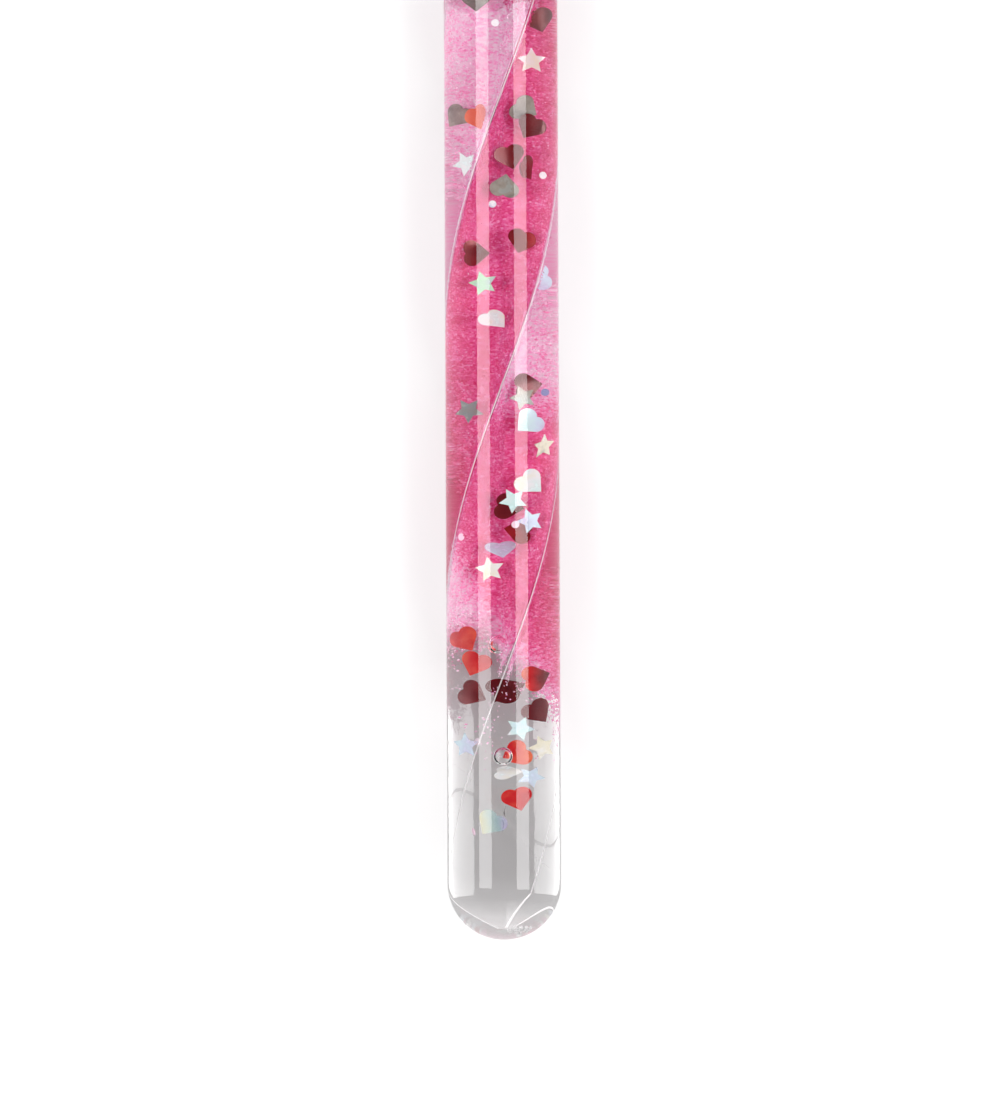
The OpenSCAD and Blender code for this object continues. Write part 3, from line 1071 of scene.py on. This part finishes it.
def lay_foils(kind, pattern, rows_by_channel, reach, film, node):
    for channel, rows in enumerate(rows_by_channel):
        pieces = []
        for row in rows:
            pick_up(pattern)
            bpy.ops.object.duplicate(linked=False)
            foil = bpy.context.object
            foil.data.transform(foil_place(channel, row, reach))
            xs = [vertex.co.x for vertex in foil.data.vertices]
            low, wide = min(xs), max(xs) - min(xs)
            # Each foil's tint runs from its left to its right, painting its highlight or shade
            left, right = row[6:]
            tint_and_sheen = foil.data.attributes.new("tint_and_sheen", "FLOAT", "POINT")
            for vertex in foil.data.vertices:
                tint_and_sheen.data[vertex.index].value = left + (right - left) * (vertex.co.x - low) / wide
            pieces.append(foil)
        foils = join(pieces)
        foils.name = kind + "_" + channel_names[channel]
        put_on(foils, film, clear_film)
        for face in foils.data.polygons:
            low_down = height_of(face.center) < clear_below
            face.material_index = int(kind == "silver_film_hearts" and low_down)
        bpy.ops.object.shade_smooth_by_angle(angle=soft_angle)
        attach(foils, "filling_" + channel_names[channel])
        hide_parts(node + "_" + channel_names[channel])
    bpy.data.objects.remove(pattern)


def make_foils():
    heart = cut_heart()
    finish_film(heart, film_bow)
    pick_up(heart)
    bpy.ops.object.duplicate(linked=False)
    other_heart = bpy.context.object
    star = cut_star()
    finish_film(star, film_bow * star_bow_share)
    dot = cut_dot()
    finish_film(dot, 0.0)
    lay_foils(
        "red_film_hearts", heart, red_heart_shares, heart_reach, red_film, "red_hearts"
    )
    lay_foils(
        "silver_film_hearts", other_heart, silver_heart_shares, heart_reach, silver_film,
        "silver_hearts",
    )
    lay_foils(
        "film_stars", star, silver_star_shares, star_d / 2, silver_film, "silver_stars"
    )
    lay_foils("film_dots", dot, pearl_dot_shares, dot_d / 2, pearl_film, "pearl_dots")


first_seed = 40
make_tube()
make_liquid()
make_insert()
make_wall_glitter()
for c in range(3):
    make_bed(c)
    make_flakes(c, random.Random(first_seed + c))
make_foils()
for c in channel_names:
    put_on(nodes["grains_" + c], grain_pale)
put_on(nodes["stopper"], stopper_white)
put_on(nodes["fill_pin"], pin_white)
put_on(nodes["end_cap"], cap_plastic)

# Stage: a pale table, which glows less where it is seen through the wand
table_size = 4
table_drop = 0.1 * MM
table_pale = grey(0.8)
table_rough = 0.9
table_glow = 0.46
glow_lost_through = 0.38
put_all_down()
bpy.ops.mesh.primitive_plane_add(size=table_size, location=(0, 0, -table_drop))
table = bpy.context.object
table.name = "table"
finish, tree, shader, out = start_finish("table_white")
shader.inputs["Base Color"].default_value = table_pale
shader.inputs["Roughness"].default_value = table_rough
shader.inputs["Specular IOR Level"].default_value = 0.0
path = tree.nodes.new("ShaderNodeLightPath")
seen = reckon(tree, "MAXIMUM", path.outputs["Is Camera Ray"], path.outputs["Is Glossy Ray"])
level = reckon(tree, "MULTIPLY", seen, table_glow)
level = reckon(tree, "MULTIPLY_ADD", path.outputs["Is Transmission Ray"], -glow_lost_through, level)
level.node.use_clamp = True
glow = tree.nodes.new("ShaderNodeEmission")
glow.inputs["Color"].default_value = bright
tree.links.new(level, glow.inputs["Strength"])
both = tree.nodes.new("ShaderNodeAddShader")
tree.links.new(shader.outputs[0], both.inputs[0])
tree.links.new(glow.outputs[0], both.inputs[1])
tree.links.new(both.outputs[0], out.inputs["Surface"])
put_on(table, finish)

# A studio that is bright round the walls and dark above
studio_stops = [(0.0, grey(1.0)), (0.3, grey(0.8)), (0.55, grey(0.16)), (1.0, grey(0.1))]
world = bpy.data.worlds.new("studio")
bpy.context.scene.world = world
world.use_nodes = True
tree = world.node_tree
tree.nodes.clear()
where = tree.nodes.new("ShaderNodeTexCoord")
split = tree.nodes.new("ShaderNodeSeparateXYZ")
back = tree.nodes.new("ShaderNodeBackground")
last = tree.nodes.new("ShaderNodeOutputWorld")
tree.links.new(where.outputs["Generated"], split.inputs[0])
tree.links.new(ramp(tree, split.outputs["Z"], studio_stops), back.inputs["Color"])
tree.links.new(back.outputs[0], last.inputs["Surface"])

# Two long soft boxes, one to either side
view_x = -0.63 * MM
view_y = -64.5 * MM
box_away = 0.8
box_wide = 0.375
box_glow = 6.0
box_lean = math.radians(38.2)
box_along = 0.02
for side, name, box_long in ((-1, "left_soft_box", 0.4), (1, "right_soft_box", 0.48)):
    lamp = bpy.data.lights.new(name, "AREA")
    lamp.shape = "RECTANGLE"
    lamp.size = box_wide
    lamp.size_y = box_long
    lamp.energy = box_glow * math.pi * box_wide * box_long
    holder = bpy.data.objects.new(name, lamp)
    bpy.context.scene.collection.objects.link(holder)
    lean = box_lean * side
    holder.location = (box_away * math.sin(lean), view_y + box_along, tube_r + box_away * math.cos(lean))
    holder.rotation_euler = (0, lean, 0)
    holder.visible_camera = False

# A camera straight above
camera_away = 1.4
camera_turn = math.radians(-0.25)
picture_tall = 241.2 * MM
sensor = 36
camera_data = bpy.data.cameras.new("camera")
camera_data.sensor_width = sensor
camera_data.lens = sensor * camera_away / picture_tall
camera_data.clip_start = 0.01
camera_data.clip_end = 20
camera = bpy.data.objects.new("camera", camera_data)
bpy.context.scene.collection.objects.link(camera)
camera.location = (view_x, view_y, tube_r + camera_away)
camera.rotation_euler = (0, 0, camera_turn)
bpy.context.scene.camera = camera

# Light goes through many clear layers
layers_deep = 40
scene = bpy.context.scene
scene.view_settings.view_transform = "Standard"
scene.cycles.max_bounces = layers_deep
scene.cycles.transmission_bounces = layers_deep
scene.cycles.transparent_max_bounces = 60

put_all_down()
